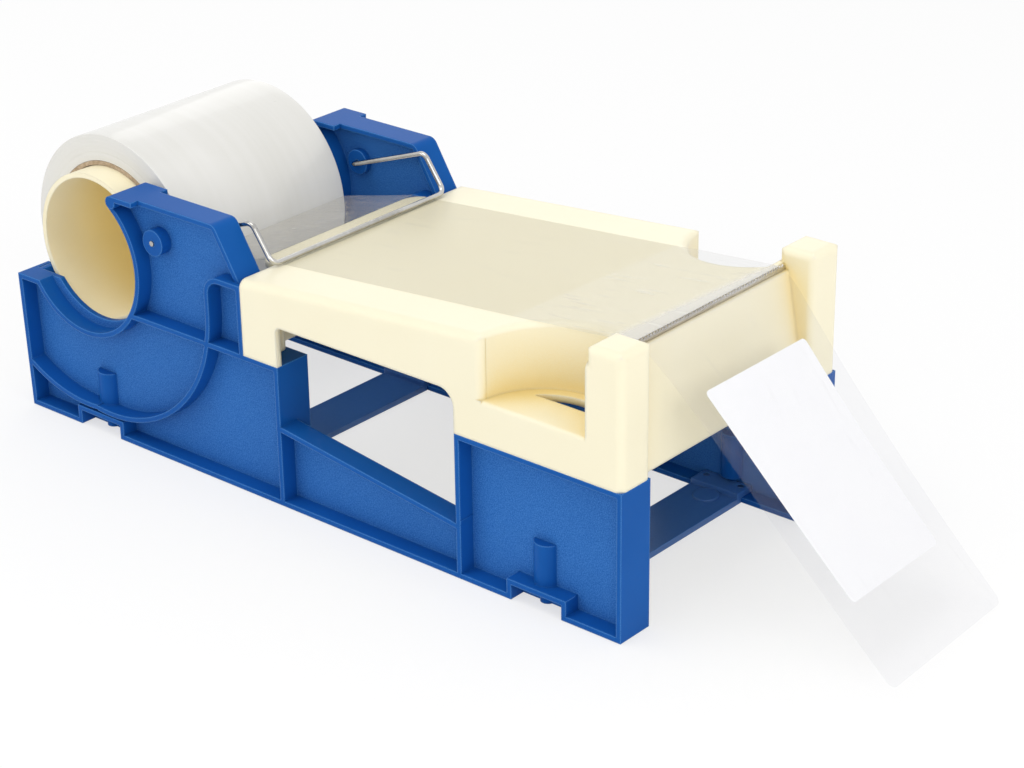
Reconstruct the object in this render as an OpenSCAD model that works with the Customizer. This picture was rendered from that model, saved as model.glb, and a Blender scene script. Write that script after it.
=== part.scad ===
// Label protection tape dispenser. A wide roll of clear film hangs on a loose hub tube
// between two ribbed side panels. The film runs under a hinged wire bail and over a sloping
// table to a cutter, and its end hangs down over the front with a blank label on it.
// All sizes are in millimetres. X points to the front, Z points up, and the origin lies on
// the bench, midway between the four screw holes under the base.

/* [Side panels] */
// Length of the base along the bench
base_len = 364; // [356:1:380]
// How far the middle of the base lies behind the middle of the screw holes
base_shift = 1; // [0:0.5:4]
// Width over the outer faces of the two panels
base_w = 151; // [149:0.5:165]
// Depth of a panel between its outer and inner face
panel_t = 19; // [18:0.5:20]
// Thickness of the web in the middle of a panel
web_t = 2.6; // [2:0.1:3.4]
// Thickness of the flanges and ribs
rib_t = 2.4; // [2:0.1:3]
// Height of the joint between panels and cover
split_h = 68.5; // [66:0.5:71]
// Height of the top of the upright part
top_h = 125.5; // [122:0.5:130]
// Width of the flange along the top
top_flange_w = 14; // [10:0.5:15]
// Lean of the rear edge over its height
rear_lean = 2.5; // [0:0.5:4]

/* [Panel window] */
// Length of the bay in front of the window
front_bay_len = 88.5; // [84:0.5:93]
// Length of the side window
window_len = 103.5; // [95:0.5:108]
// Length of the closed stretch behind the window
leg_len = 21; // [19:0.5:25]
// Height of the window sill at its front end
sill_front_h = 26; // [22:0.5:32]
// Height of the window sill at its rear end
sill_rear_h = 39.5; // [34:0.5:46]

/* [Panel upright] */
// Height where the slanted front edge starts
shoulder_h = 101.5; // [99:0.5:103]
// Length of the slanted front edge along X
slant_run = 14.5; // [10:0.5:18]
// Radius of the corner between the slanted edge and the top
crest_r = 5; // [3:0.5:7]
// Width of the pad on the horn
pad_w = 22.8; // [19:0.2:23]
// Length of the pad on the horn
pad_len = 14; // [10:0.5:15]
// Nose radius of the horn
nose_r = 3; // [2.6:0.1:3.4]
// Distance of the horn nose in front of the hub
horn_x = 30; // [28:0.5:32]
// Radius of the large curved rib
arc_rib_r = 70.6; // [69:0.1:72]
// Distance of the curved rib's centre in front of the hub
arc_rib_x = 16; // [14:0.5:17]
// Height of the curved rib's centre
arc_rib_h = 83; // [82:0.5:84]
// Radius of the curved rib's rear part, about the hub
rear_rib_r = 75; // [73:0.5:76]
// Radius at the upper corner of the curved rib
corner_r = 9; // [6:0.5:11]

/* [Hub and roll] */
// Distance of the hub in front of the rear end
hub_x = 41; // [40:0.5:43]
// Height of the hub
hub_h = 88; // [87:0.5:90]
// Outer radius of the hub tube
tube_r = 36.9; // [36:0.1:37.4]
// Wall of the hub tube
tube_wall = 2.5; // [2:0.1:3.5]
// Gap between each end of the tube and the web
tube_end_gap = 1.5; // [0.5:0.1:2.5]
// Gap between the tube and its saddle
saddle_gap = 0.4; // [0.3:0.05:0.8]
// Inner radius of the paper core
core_r = 38.1; // [38:0.1:39]
// Wall of the paper core
core_wall = 2; // [1.5:0.1:4]
// Gap between the core and the tube where it hangs
core_gap = 0.3; // [0.3:0.05:0.6]
// Outer radius of the film roll
roll_r = 53; // [46:0.5:53]
// Width of the film
film_w = 101.6; // [90:0.2:102]
// Drawn thickness of the film
film_t = 0.2; // [0.1:0.05:0.4]
// Gap between the film and the table
film_gap = 0.05; // [0.04:0.01:0.1]
// Angle above level where the film peels off the roll
peel_angle = 6; // [0:0.5:10]
// Gap left where the film peels off the roll
peel_gap = 0.3; // [0.3:0.05:0.6]

/* [Cradle] */
// Radius of the rim on the outer half of a panel
rim_r = 37.6; // [37.4:0.1:38.4]
// Distance of the rim's centre in front of the hub
rim_x = 3.4; // [2:0.1:4]
// Height of the rim's centre above the hub
rim_rise = 0.8; // [0:0.1:1.5]
// Radius of the web's edge, which keeps the tube in place
lip_r = 36.2; // [35:0.1:36.6]
// Distance of the web edge's centre in front of the hub
lip_x = 5.5; // [5:0.1:6.5]
// Height of the web edge's centre above the hub
lip_rise = 3.5; // [3:0.1:4.5]
// Distance of the lead-in's upper end in front of the rear edge
lead_in = 4.25; // [3.5:0.05:5]
// Drop of the lead-in behind the saddle
lead_drop = 7.5; // [6:0.5:8]
// Reach of the saddle behind the hub
saddle_back = 19; // [17:0.5:21]

/* [Base fixings] */
// Distance between the front and rear screw holes
boss_pitch = 270; // [264:1:276]
// Radius of the screw bosses
boss_r = 6; // [5:0.5:7]
// Height of the top of the screw bosses
boss_top = 28.7; // [24:0.1:32]
// Radius of the boss foot in the notch
boss_foot_r = 3.4; // [3.2:0.1:5]
// Radius of the screw holes
mount_hole_r = 2.1; // [1.6:0.1:2.5]
// Depth of the screw holes
mount_hole_depth = 20; // [12:0.5:22]
// Length of the notch under each screw boss
notch_len = 27.2; // [22:0.2:30]
// Height of the notch under each screw boss
notch_h = 7; // [5:0.2:8]
// How far the notch lies ahead of its boss
notch_shift = 1.2; // [0:0.1:3]

/* [Cross bars] */
// Width of a cross bar
bar_w = 26; // [22:0.5:28]
// Thickness of a cross bar
bar_t = 3; // [2.5:0.1:4]
// Distance of the front bar's middle behind the front end
front_bar_back = 47.5; // [42:0.5:56]
// Distance of the rear bar's middle in front of the rear end
rear_bar_ahead = 127; // [120:0.5:136]
// Radius of the round pads on the front bar
bar_pad_r = 6; // [4:0.5:8]
// Height of the round pads on the front bar
bar_pad_h = 0.8; // [0.5:0.1:1.5]
// Distance of the round pads from the bar's steps
bar_pad_in = 9.3; // [9:0.1:14]
// Gap between a bar's end and the panel's web
bar_end_gap = 0.6; // [0.5:0.05:1]
// Distance between the two screws at a bar's end
bar_screw_pitch = 19; // [18:0.5:20]

/* [Screws] */
// Shank radius of the screws
screw_r = 1.5; // [1.3:0.05:1.7]
// Head radius of the screws
screw_head_r = 3; // [2.6:0.1:3.2]
// Head height of the cover screws
screw_head_h = 2; // [1.5:0.1:2.6]
// Height of the countersunk heads under the bars
sunk_head_h = 1.5; // [1.2:0.1:1.6]
// Reach of the cover screws above the joint
cover_screw_reach = 13; // [10:0.5:16]
// Wall around a screw hole in a boss
screw_wall = 2.4; // [1.8:0.1:2.6]
// Depth of the countersunk heads below the flange's face
sunk_depth = 0.2; // [0.1:0.05:0.4]
// Gap around a screw where it passes through
pass_gap = 0.25; // [0.15:0.05:0.35]
// Gap around a screw where it holds
grip_gap = 0.05; // [0.03:0.01:0.1]

/* [Cover] */
// Wall of the cover
wall = 3; // [2.5:0.1:3.4]
// Gap between the cover's rear edge and the uprights
seam_gap = 0.3; // [0.2:0.05:0.6]
// Height of the table at its rear edge
table_h = 104.8; // [104:0.2:107]
// Slope of the table, up to the front
table_angle = 4.9; // [4:0.1:6]
// Edge radius along the sides of the table
edge_r = 4; // [2:0.5:5]
// Length of the tongue behind the table
tongue_len = 12; // [8:0.5:14]
// Width of the tongue
tongue_w = 104; // [103:0.5:106]
// Corner radius of the tongue
tongue_r = 8; // [4:0.5:10]
// Height of the top of the window
window_top = 88; // [84:0.5:90]
// Radius at the window's front corner
window_front_r = 8; // [4:0.5:12]
// Radius at the window's rear corner
window_rear_r = 3; // [1:0.5:6]

/* [Finger recesses] */
// Radius of the half-round recess
recess_r = 32.5; // [30:0.5:34]
// Distance of the recess's centre behind the front end
recess_back = 40.7; // [39:0.1:42]
// Height of the recess floor
recess_h = 87.7; // [85:0.1:90]
// Width of the ledge between the floor's opening and the recess wall
recess_ledge = 5.5; // [4:0.5:8]
// Radius of the soft rim where the recess meets the table
rim_soft_r = 4; // [2:0.5:4.5]
// Radius of the upright edge where the recess meets the cover's side
side_soft_r = 3.5; // [2:0.5:4]
// Radius of the edge along the front of the recess floor
lip_soft_r = 1.5; // [0.8:0.1:2]

/* [Posts and front face] */
// Height of the posts
post_h = 128.4; // [126:0.2:132]
// Length of the posts
post_len = 18.5; // [17:0.5:19]
// Width of the posts
post_w = 19.5; // [18:0.5:20]
// Edge radius of the posts
post_r = 3.5; // [2:0.5:4.5]
// Height of the ledge in front of the cutter
ledge_h = 118.8; // [117:0.2:120]
// Distance of the front face's upper edge behind the front end
face_top_back = 12.9; // [12.2:0.1:13.4]
// Distance of the front face's lower edge behind the front end
face_foot_back = 4; // [2:0.1:5]

/* [Cutter] */
// Distance of the cutter behind the front end
blade_back = 15; // [14.5:0.1:15.5]
// Thickness of the cutter
blade_t = 1; // [0.8:0.1:1.4]
// Depth of the cutter's slot below the ledge
slot_depth = 7; // [5:0.5:8]
// Distance between the cutter's teeth
tooth_pitch = 2; // [1.5:0.1:3]
// Height of the cutter's teeth
tooth_h = 1.2; // [0.8:0.1:1.6]
// Gap on each side of the cutter in its slot
slot_gap = 0.05; // [0.03:0.01:0.1]

/* [Wire bail] */
// Diameter of the wire
wire_d = 2.5; // [2:0.1:2.8]
// Bend radius of the wire's centre line
wire_bend = 4; // [3:0.5:5]
// Lap of the straight runs into the bends
wire_lap = 0.1; // [0.05:0.05:0.2]
// Running gap around the wire in its pivot
pivot_gap = 0.08; // [0.03:0.01:0.1]
// Radius of the pivot boss
pivot_boss_r = 6.3; // [5:0.1:7]
// Height of the pivot boss over the web's outer face
pivot_boss_h = 6; // [4:0.5:8]
// Length of wire that stands out of the pivot boss
wire_out = 0.6; // [0.2:0.1:1.2]
// Distance of the pivot behind the slanted edge's foot
pivot_back = 55.1; // [54:0.1:56]
// Distance of the pivot below the top of the upright part
pivot_drop = 18.6; // [17.5:0.1:19.5]
// Distance of each arm from the panel's web
arm_in = 9; // [8.8:0.1:9.2]
// Distance of the wire's shoulder behind the slanted edge's foot
shoulder_back = 6.6; // [5:0.1:8]
// Height of the wire's shoulder
shoulder_wire_h = 123.8; // [121:0.1:126]
// Distance of the cross wire in front of the cover's rear edge
cross_ahead = 2.7; // [2:0.1:4]
// Gap between the cross wire and the film
rest_gap = 0.3; // [0.3:0.05:0.6]

/* [Hanging film] */
// Reach of the hanging film in front of the cutter
tail_reach = 128.5; // [120:0.5:132]
// Height of the hanging film's lifted corner
tail_lift = 11; // [6:0.5:16]
// Lead of the lifted corner over the other corner
tail_skew = 11.5; // [4:0.5:14]
// Corner radius at the end of the hanging film
tail_r = 4; // [2:0.5:6]
// Gap between the hanging film and the bench
tail_floor = 0.4; // [0.3:0.05:0.8]
// Reach of the near edge's first guide point in front of the cutter
near_out = 16; // [10:0.5:20]
// Drop of the near edge's first guide point below the cutter
near_dip = 2.4; // [1:0.1:5]
// Reach of the near edge's second guide point in front of the cutter
near_bend_out = 38; // [30:0.5:46]
// Drop of the near edge's second guide point below the cutter
near_bend_drop = 30; // [24:0.5:36]
// Reach of the far edge's first guide point in front of the cutter
far_out = 15; // [10:0.5:20]
// Drop of the far edge's first guide point below the cutter
far_dip = 6; // [3:0.1:8]
// Reach of the far edge's second guide point in front of the cutter
far_bend_out = 17; // [12:0.5:30]
// Drop of the far edge's second guide point below the cutter
far_bend_drop = 27; // [22:0.5:34]
// Width of the label
label_w = 75; // [60:0.5:90]
// Length of the label
label_len = 101.6; // [80:0.2:104]
// Distance of the label from the cutter along the film
label_start = 32.5; // [28:0.5:40]
// Turn of the label on the film, in degrees
label_turn = 2.5; // [0:0.5:4]
// Corner radius of the label
label_r = 2.5; // [1.5:0.5:5]
// Thickness of the label
label_t = 0.2; // [0.15:0.05:0.3]
// Gap between the label and the film
label_gap = 0.2; // [0.15:0.05:0.3]

/* [Hidden] */
$fn = 96;
eps = 0.01;

// Places along the length
x_front = base_len / 2 - base_shift;
x_rear = -base_len / 2 - base_shift;
x_arm = x_rear - rear_lean;
x_win_f = x_front - front_bay_len;
x_win_r = x_win_f - window_len;
x_leg = x_win_r - leg_len;
x_seam = x_leg - seam_gap;
x_slant = x_seam - rib_t;
x_top = x_slant - slant_run;
slant = atan2(top_h - shoulder_h, slant_run);
crest_cut = crest_r * tan(slant / 2);
x_crest = x_top - crest_cut;
crest_foot = [x_top + crest_cut * cos(slant), top_h - crest_cut * sin(slant)];
x_hub = x_rear + hub_x;
x_horn = x_hub + horn_x;
x_boss = boss_pitch / 2;
x_front_bar = x_front - front_bar_back;
x_rear_bar = x_rear + rear_bar_ahead;
x_tongue = x_leg - tongue_len;
x_recess = x_front - recess_back;
x_post = x_front - post_len;
x_blade = x_front - blade_back;
x_face_top = x_front - face_top_back;
x_face_foot = x_front - face_foot_back;
x_upright = x_hub + arc_rib_x + arc_rib_r;
x_pivot = x_slant - pivot_back;
x_shoulder = x_slant - shoulder_back;
x_cross = x_leg + cross_ahead;

// Places across the width
y_out = base_w / 2;
y_web = y_out - panel_t / 2;
y_in = y_out - panel_t;
y_web_in = y_web - web_t / 2;
y_screw = (y_in + y_web_in) / 2;
y_post = y_out - post_w;
y_arm = y_web - arm_in;

// Heights and radii that follow
slope = tan(table_angle);
rim_c = [x_hub + rim_x, hub_h + rim_rise];
lip_c = [x_hub + lip_x, hub_h + lip_rise];
hub_c = [x_hub, hub_h];
arc_c = [x_hub + arc_rib_x, arc_rib_h];
saddle_r = tube_r + saddle_gap;
tube_len = 2 * (y_web_in - tube_end_gap);
roll_h = hub_h - (core_r - tube_r - core_gap);
wire_r = wire_d / 2;
pivot_h = top_h - pivot_drop;
screw_boss_r = screw_r + screw_wall;
x_cover_screws = [x_front - post_len / 2, x_leg + wall + screw_boss_r * 0.8];
rail_h = ledge_h - slot_depth - wall;
tongue_z = table_z(x_tongue);
film_z = tongue_z + film_gap;
peel = [x_hub, roll_h] + (roll_r + peel_gap) * [cos(peel_angle), sin(peel_angle)];
cross_h = table_z(x_cross) + film_gap + film_t + rest_gap + wire_r / cos(table_angle);

// Height of the table's surface at a place along X
function table_z(x) = table_h + (x - x_leg) * slope;
function unit(v) = v / norm(v);
// Place along X of the front face at a height
function face_x(z) = x_face_foot + (x_face_top - x_face_foot) * (z - split_h) / (ledge_h - split_h);

// Side view shape, drawn out between two places across the width
module across(y0, y1) {
  translate([0, y1, 0]) rotate([90, 0, 0]) linear_extrude(height = y1 - y0) children();
}

// Strip along a line, run on by half its width at both ends
module strip(a, b, t) {
  v = unit(b - a) * t / 2;
  n = [-v.y, v.x];
  polygon([a - v + n, a - v - n, b + v - n, b + v + n]);
}

// Rectangle with four round corners
module round_rect(x0, y0, x1, y1, r) {
  translate([x0 + r, y0]) square([x1 - x0 - 2 * r, y1 - y0]);
  translate([x0, y0 + r]) square([x1 - x0, y1 - y0 - 2 * r]);
  for (x = [x0 + r, x1 - r]) {
    for (y = [y0 + r, y1 - r]) {
      translate([x, y]) circle(r);
    }
  }
}

// Screw with a round shank and a flat or a countersunk head
module screw(shank_r, head_r, head_h, reach, sunk) {
  cylinder(h = head_h, r1 = head_r, r2 = sunk ? shank_r : head_r);
  cylinder(h = head_h + reach, r = shank_r);
}

// Whole outline of a panel in side view
module panel_shape() {
  polygon([[x_rear, 0], [x_front, 0], [x_front, split_h], [x_win_f, split_h],
           [x_win_f, sill_front_h], [x_win_r, sill_rear_h], [x_win_r, split_h],
           [x_seam, split_h], [x_seam, shoulder_h], [x_slant, shoulder_h], crest_foot, [x_crest, top_h],
           [x_horn, top_h], [x_horn - nose_r, top_h - 2 * nose_r],
           [rim_c.x, split_h], [x_arm, split_h]]);
  translate([x_horn, top_h - nose_r]) circle(nose_r);
  translate([x_crest, top_h - crest_r]) circle(crest_r);
}

// Notches under the screw bosses, grown by a wall on their sides and roof
module notches(grow) {
  for (x = [notch_shift - x_boss, notch_shift + x_boss]) {
    translate([x - notch_len / 2 - grow, -1]) square([notch_len + 2 * grow, notch_h + grow + 1]);
  }
}

// Flanges and ribs that run through the whole depth of a panel
module deep_ribs() {
  strip([x_rear, 0], [x_front, 0], 2 * rib_t);
  strip([x_rear, 0], [x_arm, split_h], 2 * rib_t);
  translate([x_front - rib_t, 0]) square([rib_t, split_h]);
  translate([x_win_f, 0]) square([rib_t, split_h]);
  translate([x_win_r - rib_t, 0]) square([rib_t, split_h]);
  translate([x_win_f, split_h - rib_t]) square([front_bay_len, rib_t]);
  translate([x_hub, split_h - rib_t]) square([x_win_r - x_hub, rib_t]);
  translate([x_slant, split_h - rib_t]) square([rib_t, shoulder_h - split_h + rib_t]);
  intersection() {
    difference() {
      translate(arc_c) circle(arc_rib_r + rib_t);
      translate(arc_c) circle(arc_rib_r);
    }
    translate([-x_boss, 0]) square([x_win_r + x_boss, arc_rib_h]);
  }
  intersection() {
    difference() {
      translate(hub_c) circle(rear_rib_r + rib_t);
      translate(hub_c) circle(rear_rib_r);
    }
    translate([x_arm, 0]) square([-x_boss - x_arm, split_h]);
  }
  translate([x_upright, arc_rib_h]) square([rib_t, shoulder_h - arc_rib_h - corner_r]);
  translate([x_upright + corner_r, shoulder_h - corner_r]) {
    intersection() {
      difference() {
        circle(corner_r);
        circle(corner_r - rib_t);
      }
      translate([-corner_r, 0]) square(corner_r);
    }
  }
  translate([x_upright + corner_r, shoulder_h - rib_t])
    square([x_slant + rib_t - x_upright - corner_r, rib_t]);
}

// Ribs on the outer half, with the cradle's rim and the notches for the screw bosses
module outer_ribs() {
  intersection() {
    panel_shape();
    difference() {
      union() {
        deep_ribs();
        notches(rib_t);
        translate([x_arm, split_h - rib_t]) square([x_hub - x_arm, rib_t]);
        translate(rim_c) circle(rim_r + rib_t);
      }
      translate(rim_c) circle(rim_r);
      notches(0);
    }
  }
}

// Ribs on the inner half, with the saddle under the tube and its lead-in
module inner_ribs() {
  lead_top = [x_arm + lead_in, split_h];
  lead_mid = [x_arm + 2 * lead_in, split_h - lead_drop];
  lead_foot = [x_hub - saddle_back, hub_h - sqrt(pow(saddle_r + rib_t / 2, 2) - pow(saddle_back, 2))];
  intersection() {
    panel_shape();
    difference() {
      union() {
        deep_ribs();
        strip(lead_top, lead_mid, rib_t);
        strip(lead_mid, lead_foot, rib_t);
        intersection() {
          union() {
            translate(hub_c) circle(saddle_r + rib_t);
            translate(lip_c) circle(lip_r + rib_t);
          }
          translate([x_hub - saddle_back, 0]) square([base_len, top_h]);
        }
      }
      translate(hub_c) circle(saddle_r);
    }
  }
}

// One panel, with its web along Y = 0 and its outer face towards -Y
module panel() {
  difference() {
    union() {
      across(-web_t / 2, web_t / 2) {
        difference() {
          panel_shape();
          translate(lip_c) circle(lip_r);
        }
      }
      across(-panel_t / 2, -web_t / 4) outer_ribs();
      across(web_t / 4, panel_t / 2) inner_ribs();
      across(-panel_t / 2, web_t / 2) {
        intersection() {
          panel_shape();
          strip([x_win_f, sill_front_h], [x_win_r, sill_rear_h], 2 * rib_t);
        }
      }
      across(-top_flange_w / 2, top_flange_w / 2) {
        intersection() {
          panel_shape();
          union() {
            strip([x_slant, shoulder_h], [x_top, top_h], 2 * rib_t);
            translate([x_horn, top_h - rib_t]) square([x_top + rib_t - x_horn, rib_t]);
          }
        }
      }
      across(-pad_w / 2, pad_w / 2) {
        translate([x_horn, top_h - nose_r]) circle(nose_r);
        translate([x_horn, top_h - rib_t]) square([pad_len, rib_t]);
      }
      for (x = [-x_boss, x_boss]) {
        translate([x, 0, notch_h]) cylinder(h = boss_top - notch_h, r = boss_r);
        translate([x, 0, 0]) cylinder(h = notch_h + 1, r = boss_foot_r);
      }
      across(-web_t / 2 - pivot_boss_h, arm_in - wire_bend - rest_gap)
        translate([x_pivot, pivot_h]) circle(pivot_boss_r);
    }
    for (x = [-x_boss, x_boss]) {
      translate([x, 0, -1]) cylinder(h = mount_hole_depth + 1, r = mount_hole_r);
    }
    across(-panel_t, panel_t) translate([x_pivot, pivot_h]) circle(wire_r + pivot_gap);
    for (x = [x_front_bar, x_rear_bar]) {
      for (s = [-0.5, 0.5]) {
        translate([x + s * bar_screw_pitch, y_web - y_screw, 0]) {
          translate([0, 0, -1]) cylinder(h = sunk_depth + 1, r = screw_head_r + pass_gap);
          translate([0, 0, sunk_depth])
            screw(screw_r + pass_gap, screw_head_r + pass_gap, sunk_head_h, rib_t, true);
        }
      }
    }
    for (x = x_cover_screws) {
      translate([x, y_web - y_screw, split_h - 2 * rib_t]) cylinder(h = 3 * rib_t, r = screw_r + pass_gap);
    }
  }
}

module left_side_panel() {
  color([0.13, 0.36, 0.70]) translate([0, -y_web, 0]) panel();
}

module right_side_panel() {
  color([0.13, 0.36, 0.70]) mirror([0, 1, 0]) translate([0, -y_web, 0]) panel();
}

// Flat bar with stepped ends that lie on the panels' bottom flanges
module cross_bar(x) {
  step_y = y_in - seam_gap;
  end_y = y_web_in - bar_end_gap;
  difference() {
    union() {
      translate([x - bar_w / 2, -step_y, 0]) cube([bar_w, 2 * step_y, bar_t]);
      for (s = [-1, 1]) {
        y0 = s > 0 ? step_y - bar_t : -step_y;
        translate([x - bar_w / 2, y0, 0]) cube([bar_w, bar_t, rib_t + bar_t]);
        y1 = s > 0 ? step_y - eps : -end_y;
        translate([x - bar_w / 2, y1, rib_t]) cube([bar_w, end_y - step_y + eps, bar_t]);
      }
    }
    for (s = [-0.5, 0.5]) {
      for (y = [-y_screw, y_screw]) {
        translate([x + s * bar_screw_pitch, y, 0]) cylinder(h = rib_t + 2 * bar_t, r = screw_r + grip_gap);
      }
    }
    for (y = [-y_web, y_web]) {
      translate([x_boss, y, 0]) cylinder(h = rib_t + 2 * bar_t, r = boss_foot_r + seam_gap);
    }
  }
}

module front_cross_bar() {
  color([0.10, 0.30, 0.62]) {
    cross_bar(x_front_bar);
    for (y = [-1, 1]) {
      translate([x_front_bar, y * (y_in - bar_pad_in), bar_t / 2])
        cylinder(h = bar_t / 2 + bar_pad_h, r = bar_pad_r);
    }
  }
}

module rear_cross_bar() {
  color([0.10, 0.30, 0.62]) cross_bar(x_rear_bar);
}

// Four countersunk screws that hold one bar, put in from below
module bar_screws(x) {
  for (s = [-0.5, 0.5]) {
    for (y = [-y_screw, y_screw]) {
      translate([x + s * bar_screw_pitch, y, sunk_depth])
        screw(screw_r, screw_head_r, sunk_head_h, rib_t + bar_t - sunk_head_h - sunk_depth, true);
    }
  }
}

module front_bar_screws() {
  color([0.60, 0.60, 0.62]) bar_screws(x_front_bar);
}

module rear_bar_screws() {
  color([0.60, 0.60, 0.62]) bar_screws(x_rear_bar);
}

// Outside of the cover in side view, between the posts
module cover_shape() {
  polygon([[x_leg, split_h], [x_face_foot, split_h], [x_face_top, ledge_h],
           [x_blade - blade_t / 2, ledge_h],
           [x_blade - blade_t / 2, table_z(x_blade - blade_t / 2)], [x_leg, table_z(x_leg)]]);
}

// Hollow under the cover in side view
module cover_hollow() {
  polygon([[x_leg + wall, split_h - 1], [x_face_foot - wall, split_h - 1],
           [face_x(rail_h) - wall, rail_h], [x_blade - wall, rail_h],
           [x_blade - wall, table_z(x_blade - wall) - wall],
           [x_leg + wall, table_z(x_leg + wall) - wall]]);
}

// Table body with its long edges rounded along the slope
module table_body() {
  run = x_front - x_tongue;
  intersection() {
    across(-y_out, y_out) cover_shape();
    multmatrix([[1, 0, 0, x_leg], [0, 1, 0, 0], [slope, 0, 1, table_h], [0, 0, 0, 1]])
      rotate([90, 0, 90]) linear_extrude(height = run)
        round_rect(-y_out, -2 * table_h, y_out, 0, edge_r);
  }
}

// Tongue that leads the film onto the table
module tongue() {
  intersection() {
    across(-tongue_w / 2, tongue_w / 2) {
      polygon([[x_tongue, tongue_z - wall], [x_leg + 1, table_z(x_leg + 1) - wall],
               [x_leg + 1, table_z(x_leg) - wall / 2], [x_leg, table_z(x_leg)], [x_tongue, tongue_z]]);
    }
    linear_extrude(height = post_h)
      round_rect(x_tongue, -tongue_w / 2, x_leg + 4 * tongue_r, tongue_w / 2, tongue_r);
  }
}

// Post with all its free edges rounded
module post() {
  intersection() {
    translate([0, 0, split_h]) linear_extrude(height = post_h - split_h)
      round_rect(x_post, y_post, x_front, y_out, post_r);
    across(y_post - 1, y_out + 1) round_rect(x_post, 0, x_front, post_h, post_r);
    translate([x_post - 1, 0, 0]) rotate([90, 0, 90]) linear_extrude(height = post_len + 2)
      round_rect(y_post, 0, y_out, post_h, post_r);
  }
}

// Half-round space at one side, cut or kept clear in front of the post
module recess(r, z, x_end) {
  intersection() {
    translate([x_recess, y_out, z]) cylinder(h = post_h, r = r);
    translate([x_recess - 2 * r, 0, z - 1]) cube([x_end - x_recess + 2 * r, base_w, post_h]);
  }
}

// Soft edges of the recess: its rim, tipped with the table, its upright edge and its floor's edge
module recess_edges() {
  f = rim_soft_r;
  k = side_soft_r;
  e = lip_soft_r;
  rim_in = recess_r - f / 10;
  intersection() {
    translate([x_recess, y_out, table_z(x_recess)]) rotate([0, -table_angle, 0]) rotate_extrude()
      polygon(concat([[0, f * (sin(22.5) - 1)]],
                     [for (a = [22.5 : 22.5 : 90]) [rim_in + f * (1 - cos(a)), f * (sin(a) - 1)]],
                     [[rim_in + f, f], [0, f]]));
    translate([x_recess - 2 * recess_r, 0, recess_h])
      cube([x_post - x_recess + 2 * recess_r, base_w, post_h]);
  }
  translate([x_recess - recess_r - k, y_out - k, recess_h]) linear_extrude(height = post_h) difference() {
    square(k + 1);
    circle(k);
  }
  translate([x_recess - recess_r, y_out - e, recess_h - e]) rotate([90, 0, 90])
    linear_extrude(height = x_post - x_recess + recess_r) difference() {
      square(e + 1);
      circle(e);
    }
}

// Opening in the recess floor, from the panel's inner face inwards
module floor_opening() {
  intersection() {
    translate([x_recess, y_out, split_h]) cylinder(h = post_h, r = recess_r - recess_ledge);
    translate([x_recess - recess_r, 0, split_h]) cube([x_post - wall - x_recess + recess_r, y_in, post_h]);
  }
}

// Opening of the side window
module window_shape() {
  r = window_front_r;
  q = window_rear_r;
  translate([x_win_r, split_h - 1]) square([window_len, window_top - split_h + 1 - r]);
  translate([x_win_r + q, split_h]) square([window_len - r - q, window_top - split_h]);
  translate([x_win_f - r, window_top - r]) circle(r);
  translate([x_win_r, split_h]) square([2 * q, window_top - split_h - q]);
  translate([x_win_r + q, window_top - q]) circle(q);
}

module top_cover() {
  slot_w = blade_t + 2 * slot_gap;
  color([0.95, 0.92, 0.83]) difference() {
    union() {
      difference() {
        union() {
          table_body();
          tongue();
          for (s = [0, 1]) {
            mirror([0, s, 0]) post();
          }
        }
        difference() {
          union() {
            across(wall - y_out, y_out - wall) cover_hollow();
            for (s = [0, 1]) {
              mirror([0, s, 0]) translate([x_post + wall, y_post + wall, split_h - 1])
                cube([post_len - 2 * wall, post_w - 2 * wall, post_h - split_h + 1 - 2 * wall]);
            }
          }
          for (s = [0, 1]) {
            mirror([0, s, 0]) recess(recess_r + wall, recess_h - wall, x_post + wall);
          }
        }
        for (s = [0, 1]) {
          mirror([0, s, 0]) {
            recess(recess_r, recess_h, x_post);
            recess_edges();
          }
        }
        for (s = [0, 1]) {
          mirror([0, s, 0]) floor_opening();
        }
        across(-y_out - 1, y_out + 1) window_shape();
        translate([x_blade - slot_w / 2, -y_post, ledge_h - slot_depth]) cube([slot_w, 2 * y_post, post_h]);
      }
      for (s = [-1, 1]) {
        for (x = x_cover_screws) {
          translate([x, s * y_screw, split_h]) cylinder(h = table_h - wall / 3 - split_h, r = screw_boss_r);
        }
      }
    }
    for (s = [-1, 1]) {
      for (x = x_cover_screws) {
        translate([x, s * y_screw, split_h - 1])
          cylinder(h = cover_screw_reach + 2, r = screw_r + grip_gap);
      }
    }
  }
}

// Four screws that hold the cover, put in from under the panels' upper flanges
module cover_screws() {
  color([0.60, 0.60, 0.62]) {
    for (s = [-1, 1]) {
      for (x = x_cover_screws) {
        translate([x, s * y_screw, split_h - rib_t - screw_head_h])
          screw(screw_r, screw_head_r, screw_head_h, rib_t + cover_screw_reach, false);
      }
    }
  }
}

// Cutter strip with a row of teeth along its upper edge
module cutter_blade() {
  half = y_post - seam_gap;
  foot = ledge_h - slot_depth;
  tip = table_z(x_blade) - film_t;
  count = floor(2 * half / tooth_pitch);
  first = -count * tooth_pitch / 2;
  color([0.62, 0.63, 0.65]) translate([x_blade - blade_t / 2, 0, 0])
    rotate([90, 0, 90]) linear_extrude(height = blade_t)
      polygon(concat([[half, foot], [half, tip - tooth_h]],
                     [for (i = [2 * count : -1 : 0])
                        [first + i * tooth_pitch / 2, i % 2 == 0 ? tip - tooth_h : tip]],
                     [[-half, tip - tooth_h], [-half, foot]]));
}

// Straight round wire from one point to another
module wire_run(a, b) {
  d = b - a;
  translate(a) rotate([0, acos(d.z / norm(d)), atan2(d.y, d.x)]) cylinder(h = norm(d), r = wire_r);
}

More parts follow.
